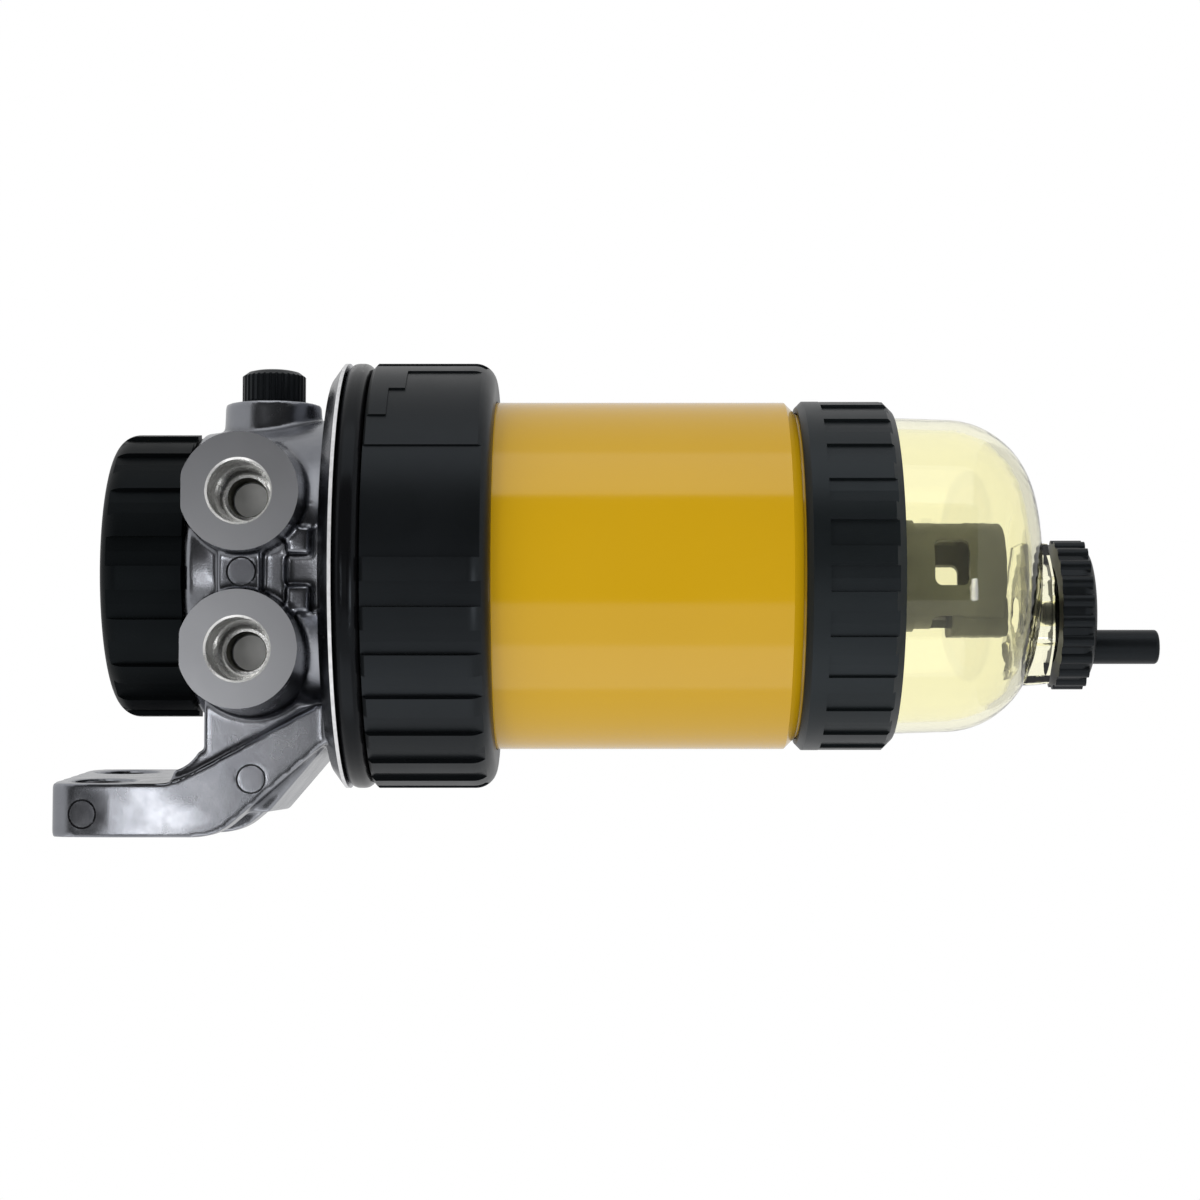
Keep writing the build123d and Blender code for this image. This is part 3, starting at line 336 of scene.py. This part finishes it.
# Seals and the other nodes that aren't named here are rubber
node_finish = {
    "filter_head": "cast_aluminium",
    "upper_collar": "black_moulding",
    "lower_collar": "collar_moulding",
    "primer_knob": "knob_moulding",
    "vent_screw": "black_moulding",
    "drain_cap": "black_moulding",
    "element_can": "amber_lacquer",
    "bowl": "clear_moulding",
    "lower_end_cap": "cage_moulding",
    "upper_end_cap": "cage_moulding",
    "centre_tube": "cage_moulding",
    "foot_valve_cage": "cage_moulding",
    "primer_piston": "cage_moulding",
    "pleated_media": "filter_paper",
    "primer_rod": "ground_steel",
    "foot_valve_spring": "ground_steel",
    "primer_gland": "turned_brass",
}


def dress(obj, finish):
    """Puts one finish on an object in place of what it has."""
    obj.data.materials.clear()
    obj.data.materials.append(finishes[finish])


for node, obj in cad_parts.items():
    dress(obj, node_finish.get(node, "black_rubber"))


# Tools for the pieces made here

def link(name, mesh):
    """Object for a mesh, in the scene at the origin."""
    obj = bpy.data.objects.new(name, mesh)
    bpy.context.scene.collection.objects.link(obj)
    return obj


def turned(name, profile, centre, axis, finish, turns=plain_turns, hollow=False):
    """Solid of revolution: profile points (along, radius) run round an axis through the centre;
    a hollow one is a ring, whose profile closes on itself."""
    axis = Vector(axis).normalized()
    side = axis.orthogonal().normalized()
    other = axis.cross(side)
    angle = np.linspace(0, 2 * pi, turns, endpoint=False)
    ring = np.outer(np.cos(angle), side) + np.outer(np.sin(angle), other)
    along = np.array([p[0] for p in profile])[:, None, None]
    radius = np.array([p[1] for p in profile])[:, None, None]
    points = np.array(centre) + along * np.array(axis) + radius * ring[None]
    count = len(profile)
    faces = []
    for row in range(count if hollow else count - 1):
        start, end = row * turns, (row + 1) % count * turns
        for col in range(turns):
            nxt = (col + 1) % turns
            faces.append((start + col, start + nxt, end + nxt, end + col))
    if not hollow:
        faces.append(tuple(range(turns))[::-1])
        faces.append(tuple((count - 1) * turns + c for c in range(turns)))
    mesh = bpy.data.meshes.new(name)
    mesh.from_pydata(points.reshape(-1, 3).tolist(), [], faces)
    mesh.materials.append(finishes[finish])
    tool = bmesh.new()
    tool.from_mesh(mesh)
    bmesh.ops.recalc_face_normals(tool, faces=tool.faces)
    tool.to_mesh(mesh)
    tool.free()
    return link(name, mesh)


def block(name, low, high, finish):
    """Box between two corners."""
    mesh = bpy.data.meshes.new(name)
    (x0, y0, z0), (x1, y1, z1) = low, high
    corners = [(x, y, z) for x in (x0, x1) for y in (y0, y1) for z in (z0, z1)]
    faces = [(0, 1, 3, 2), (4, 6, 7, 5), (0, 4, 5, 1), (2, 3, 7, 6), (0, 2, 6, 4), (1, 5, 7, 3)]
    mesh.from_pydata(corners, [], faces)
    mesh.materials.append(finishes[finish])
    return link(name, mesh)


def bake(obj):
    """Works the object's modifiers into its mesh."""
    graph = bpy.context.evaluated_depsgraph_get()
    mesh = bpy.data.meshes.new_from_object(obj.evaluated_get(graph))
    obj.modifiers.clear()
    obj.data = mesh


def combine(obj, tools, operation):
    """Adds the tools' solids to the object or takes them away, and removes the tools; faces that
    come from a tool keep its finish."""
    for tool in tools:
        modifier = obj.modifiers.new("combine", "BOOLEAN")
        modifier.operation = operation
        modifier.solver = "EXACT"
        modifier.material_mode = "TRANSFER"
        modifier.object = tool
    bake(obj)
    for tool in tools:
        bpy.data.objects.remove(tool, do_unlink=True)


def shade(obj, degrees):
    """Smooth shading, crisp at edges sharper than the angle."""
    for poly in obj.data.polygons:
        poly.use_smooth = True
    obj.data.set_sharp_from_angle(angle=radians(degrees))


def merged_copy(node, name):
    """Copy of a CAD node's mesh with its loose triangles joined up."""
    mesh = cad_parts[node].data.copy()
    mesh.name = name
    tool = bmesh.new()
    tool.from_mesh(mesh)
    bmesh.ops.remove_doubles(tool, verts=tool.verts, dist=weld_distance)
    tool.to_mesh(mesh)
    tool.free()
    return link(name, mesh)


def ring_profile(start, end, radius, pitch, depth):
    """Points of rings turned in a bore: in each pitch the radius rises by the depth and falls
    back."""
    points = []
    along = start
    while along + pitch <= end:
        for part, rise in ((0, 0), (0.15, 0), (0.5, depth), (0.65, depth)):
            points.append((along + pitch * part, radius + rise))
        along += pitch
    points.append((along + 0.2 * pitch, radius))
    return points


# The cast head

def draw_faces(head):
    """Moves the port faces out by the stock that machining takes off again, and draws in the
    flange's rim, which the turned ring replaces."""
    place = np.empty(len(head.data.vertices) * 3)
    head.data.vertices.foreach_get("co", place)
    place = place.reshape(-1, 3)
    for port_x in port_places:
        away = np.hypot(place[:, 0] - port_x, place[:, 2] - port_z)
        on_face = np.abs(place[:, 1] - port_face) < face_pick
        place[on_face & (away < spot_r + spot_margin), 1] -= stock
    radius = np.hypot(place[:, 0] - axis_out, place[:, 1])
    low = place[:, 2] < seal_level + flange_rim_h + spot_margin
    rim = (np.abs(radius - flange_r) < rim_pick) & low
    place[rim, 0] = axis_out + (place[rim, 0] - axis_out) * (1 - rim_draw / flange_r)
    place[rim, 1] *= 1 - rim_draw / flange_r
    head.data.vertices.foreach_set("co", place.ravel())
    head.data.update()


def fill_holes(head):
    """Joins cylinders to the head that fill its bores and bolt holes, so that softening leaves
    them alone and they are cut again sharp."""
    bore_r, bore_len = thread_r + plug_gap, stock + thread_len + cone_len
    holes = [((x, port_face - stock, port_z), (0, 1, 0), bore_r, bore_len) for x in port_places]
    for side in (-1, 1):
        holes.append(((0, side * bolt_half, 0), (1, 0, 0), bolt_r + plug_gap, bolt_seat_t))
    joined = bmesh.new()
    joined.from_mesh(head.data)
    for number, (centre, axis, radius, length) in enumerate(holes):
        profile = [(0, radius), (length, radius)]
        plug = turned("plug_%d" % number, profile, centre, axis, "cast_aluminium", small_turns)
        joined.from_mesh(plug.data)
        bpy.data.objects.remove(plug, do_unlink=True)
    joined.to_mesh(head.data)
    joined.free()


def cut_hollows(head):
    """Cuts the cove between the web and the foot, and the channels beside the two stops."""
    centre = (cove_out + cove_r, -cove_half_w, seal_level + cove_wall_z + cove_r)
    profile = [(0, cove_r), (2 * cove_half_w, cove_r)]
    hollows = [turned("cove", profile, centre, (0, 1, 0), "cast_aluminium")]
    for number, (low, high, end) in enumerate(channel_spans):
        near = (axis_out + low, channel_front, seal_level + flange_t + channel_lift)
        far = (axis_out + high, channel_floor, seal_level + end)
        hollows.append(block("channel_%d" % number, near, far, "cast_aluminium"))
    combine(head, hollows, "DIFFERENCE")


def soften(head):
    """Soft fillets: a fine grid is smoothed towards each point's neighbours above the seal's
    face, the foot's end is bent back on the ports' side, and the mesh is thinned."""
    grid = head.modifiers.new("grid", "REMESH")
    grid.mode = "VOXEL"
    grid.voxel_size = casting_grid
    bake(head)
    free = head.vertex_groups.new(name="free")
    for vertex in head.data.vertices:
        rise = vertex.co.z - seal_level
        weight = min(1.0, max(0.0, (rise - soft_start) / soft_range))
        free.add((vertex.index,), weight, "REPLACE")
    smoothing = head.modifiers.new("smoothing", "SMOOTH")
    smoothing.factor = casting_smoothing_factor
    smoothing.iterations = casting_smoothing
    smoothing.vertex_group = "free"
    bake(head)
    for vertex in head.data.vertices:
        beyond = vertex.co.z - seal_level - foot_bend_z
        if beyond > 0 and vertex.co.y < foot_bend_y and vertex.co.x < foot_t:
            share = (foot_bend_y - vertex.co.y) / foot_bend_depth
            vertex.co.y += beyond * foot_bend_slope * share
    fewer = head.modifiers.new("fewer", "DECIMATE")
    fewer.ratio = casting_share
    bake(head)
    dress(head, "cast_aluminium")


def add_flange(head):
    """Joins the flange's turned ring: a painted highlight on its rim, painted shade on its
    slope.
    """
    top = flange_t + flange_cover
    profile = [(0, flange_root_r), (0, flange_r), (flange_rim_h, flange_r)]
    profile += [(top, flange_r - flange_slope_w), (top, flange_root_r)]
    centre = (axis_out, 0, seal_level)
    ring = turned("flange_rim", profile, centre, (0, 0, 1), "cast_aluminium", rim_turns, True)
    ring.data.materials.append(finishes["painted_highlight_aluminium"])
    ring.data.materials.append(finishes["shaded_aluminium"])
    # Rim faces get the painted highlight, slope faces the painted shade
    for poly in ring.data.polygons:
        corners = [ring.data.vertices[v].co for v in poly.vertices]
        at_rim = [np.hypot(c.x - axis_out, c.y) > flange_r - on_rim for c in corners]
        sloped = any(at_rim) and max(c.z for c in corners) > seal_level + flange_t
        poly.material_index = 1 if all(at_rim) else 2 if sloped else 0
    combine(head, [ring], "UNION")


def machine(head):
    """Cuts the ports' faces and bores, the bolt holes with their seats, and the round marks."""
    near = (axis_out - facing_half_w, port_face - facing_reach, port_z - spot_r - facing_margin)
    far = (axis_out + facing_half_w, port_face, port_z + facing_reach)
    tools = [block("port_facing", near, far, "machined_aluminium")]
    step = thread_len + cone_len
    depth = step + passage_len
    wide = [(-bore_lead, mouth_r), (0, mouth_r), (mouth_r - thread_r, thread_r)]
    wide += [(thread_len, thread_r), (step, step_r)]
    narrow = ring_profile(
        step - bore_overlap, depth, passage_r, passage_ring_pitch, passage_ring_depth)
    end = [(depth - bore_end_start, bore_end_r), (depth + bore_end_extra, bore_end_r)]
    # Painted shade in the narrow passage and painted light at the bore's end
    cuts = (("wide_bore_%d", wide, "bored_aluminium"), ("narrow_bore_%d", narrow, "painted_shade_bore"),
            ("end_bore_%d", end, "painted_light_bore_end"))
    for number, port_x in enumerate(port_places):
        centre = (port_x, port_face, port_z)
        for name, profile, finish in cuts:
            tools.append(turned(name % number, profile, centre, (0, 1, 0), finish))
    bolt = [(-bolt_lead, bolt_r), (bolt_seat_t, bolt_r)]
    bolt += [(bolt_seat_t, bolt_seat_r), (foot_t + bolt_lead, bolt_seat_r)]
    for number, side in enumerate((-1, 1)):
        centre = (0, side * bolt_half, 0)
        name = "bolt_hole_%d" % number
        tools.append(turned(name, bolt, centre, (1, 0, 0), "machined_aluminium"))
    inner_r = mark_r - mark_line
    groove = [(-mark_lead, inner_r), (-mark_lead, mark_r), (mark_depth, mark_r)]
    groove += [(mark_depth, inner_r)]
    for number, (centre, slope) in enumerate(mark_places):
        name, axis = "mark_%d" % number, (0, 1, -slope)
        tools.append(turned(name, groove, centre, axis, "cast_aluminium", small_turns, True))
    combine(head, tools, "DIFFERENCE")


def cast_head():
    """The head as cast and then machined: the CAD's head on a fine grid, softened, with the
    flange's rim, flat faces and bores made sharp again."""
    head = merged_copy("filter_head", "cast_head")
    draw_faces(head)
    cut_hollows(head)
    fill_holes(head)
    soften(head)
    add_flange(head)
    machine(head)
    shade(head, crisp_angle)
    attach(head, "root")
    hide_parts("filter_head")


def valve_spring():
    """The foot valve's spring, between the disc and the cage's roof: a welded copy of the CAD's
    spring in ground steel."""
    spring = merged_copy("foot_valve_spring", "valve_spring")
    dress(spring, "ground_steel")
    shade(spring, crisp_angle)
    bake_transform(spring)
    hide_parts("foot_valve_spring")


# Camera, stage and lamps

def photo_camera():
    """Camera at the photograph's view: it looks along +Y, turned a little, with +X up in its
    picture."""
    forward = Vector((sin(view_turn), cos(view_turn), 0))
    up = Vector((cos(view_turn), -sin(view_turn), 0))
    right = forward.cross(up)
    aim = Vector((axis_out, 0, seal_level))
    aim -= Vector((0, 0, (photo_centre_px - seal_px) * metres_per_pixel))
    aim -= up * (photo_centre_px - axis_px) * metres_per_pixel
    data = bpy.data.cameras.new("photo_camera")
    data.sensor_width = sensor_mm
    data.lens = sensor_mm * camera_distance / (photo_px * metres_per_pixel)
    camera = bpy.data.objects.new("photo_camera", data)
    turn = Matrix((right, up, -forward)).transposed().to_4x4()
    camera.matrix_world = Matrix.Translation(aim - forward * camera_distance) @ turn
    bpy.context.scene.collection.objects.link(camera)
    bpy.context.scene.camera = camera


def lamp(name, place, aim, size, power):
    """Soft rectangular lamp of a power in watts that looks from a place at a point."""
    data = bpy.data.lights.new(name, "AREA")
    data.shape = "RECTANGLE"
    data.size, data.size_y = size
    data.energy = power
    obj = bpy.data.objects.new(name, data)
    obj.location = place
    obj.rotation_euler = (Vector(aim) - Vector(place)).to_track_quat("-Z", "Y").to_euler()
    bpy.context.scene.collection.objects.link(obj)


def white_room(light, gloss):
    """World that lights at one level, shows another in gloss, and is white to the camera and
    through clear mouldings."""
    world = bpy.data.worlds.new("white_room")
    bpy.context.scene.world = world
    world.use_nodes = True
    tree = world.node_tree
    tree.nodes.clear()
    output = tree.nodes.new("ShaderNodeOutputWorld")
    path = tree.nodes.new("ShaderNodeLightPath")
    seen = tree.nodes.new("ShaderNodeMath")
    seen.operation = "MAXIMUM"
    tree.links.new(path.outputs["Is Camera Ray"], seen.inputs[0])
    tree.links.new(path.outputs["Is Transmission Ray"], seen.inputs[1])
    levels = ((light, None), (gloss, path.outputs["Is Glossy Ray"]), (1.0, seen.outputs[0]))
    room = None
    for strength, switch in levels:
        white = tree.nodes.new("ShaderNodeBackground")
        white.inputs["Color"].default_value = (1, 1, 1, 1)
        white.inputs["Strength"].default_value = strength
        if switch is None:
            room = white.outputs[0]
            continue
        mix = tree.nodes.new("ShaderNodeMixShader")
        tree.links.new(switch, mix.inputs[0])
        tree.links.new(room, mix.inputs[1])
        tree.links.new(white.outputs[0], mix.inputs[2])
        room = mix.outputs[0]
    tree.links.new(room, output.inputs[0])


def dark_flag(name, low, high, y):
    """Upright card in front of the part, between two corners (x, z): only gloss sees it, as the
    dark side of the studio."""
    (x0, z0), (x1, z1) = low, high
    mesh = bpy.data.meshes.new(name)
    mesh.from_pydata([(x0, y, z0), (x1, y, z0), (x1, y, z1), (x0, y, z1)], [], [(0, 1, 2, 3)])
    card = link(name, mesh)
    material = bpy.data.materials.new(name)
    material.use_nodes = True
    tree = material.node_tree
    tree.nodes.clear()
    output = tree.nodes.new("ShaderNodeOutputMaterial")
    path = tree.nodes.new("ShaderNodeLightPath")
    clear = tree.nodes.new("ShaderNodeBsdfTransparent")
    dark = tree.nodes.new("ShaderNodeEmission")
    dark.inputs["Strength"].default_value = flag_level
    mirrored = tree.nodes.new("ShaderNodeMath")
    mirrored.operation = "SUBTRACT"
    mirrored.use_clamp = True
    tree.links.new(path.outputs["Is Glossy Ray"], mirrored.inputs[0])
    tree.links.new(path.outputs["Is Transmission Ray"], mirrored.inputs[1])
    mix = tree.nodes.new("ShaderNodeMixShader")
    tree.links.new(mirrored.outputs[0], mix.inputs[0])
    tree.links.new(clear.outputs[0], mix.inputs[1])
    tree.links.new(dark.outputs[0], mix.inputs[2])
    tree.links.new(mix.outputs[0], output.inputs[0])
    mesh.materials.append(material)


def pale_floor(drop, radius):
    """Round pale floor below the part, far enough down to leave the hanging part free."""
    angle = np.linspace(0, 2 * pi, plain_turns, endpoint=False)
    level = np.full(plain_turns, cad_box[0].z - drop)
    rim = np.stack([axis_out + radius * np.cos(angle), radius * np.sin(angle), level], 1)
    mesh = bpy.data.meshes.new("floor")
    mesh.from_pydata(rim.tolist(), [], [list(range(plain_turns))])
    floor = link("floor", mesh)
    material, tree, shader = new_material("pale_floor")
    shader.inputs["Base Color"].default_value = (floor_white, floor_white, floor_white, 1)
    shader.inputs["Roughness"].default_value = 0.9
    floor.data.materials.append(material)


cast_head()
valve_spring()
photo_camera()
white_room(room_light, room_gloss)
flag_low, flag_high = (axis_out - 0.58, seal_level - 1.6), (axis_out + 1.79, seal_level + 1.7)
dark_flag("front_flag", flag_low, flag_high, flag_y)
middle = (axis_out, 0, seal_level - 0.06)
lamp("upper_lamp", (axis_out + 0.75, -0.35, seal_level - 0.04), middle, (0.5, 0.9), 1.0)
lamp("lower_lamp", (axis_out - 0.75, -0.35, seal_level + 0.1), middle, (0.5, 0.9), 1.1)
lamp("foot_lamp", (axis_out - 0.1, -1.03, seal_level + 0.31), middle, (0.19, 0.17), 0.86)
ports = (axis_out, 0, seal_level)
lamp("bore_lamp", (axis_out - 0.25, -1.0, seal_level - 0.65), ports, (0.3, 0.3), 2.6)
pale_floor(floor_drop, floor_r)

scene = bpy.context.scene
scene.view_settings.view_transform = "Standard"
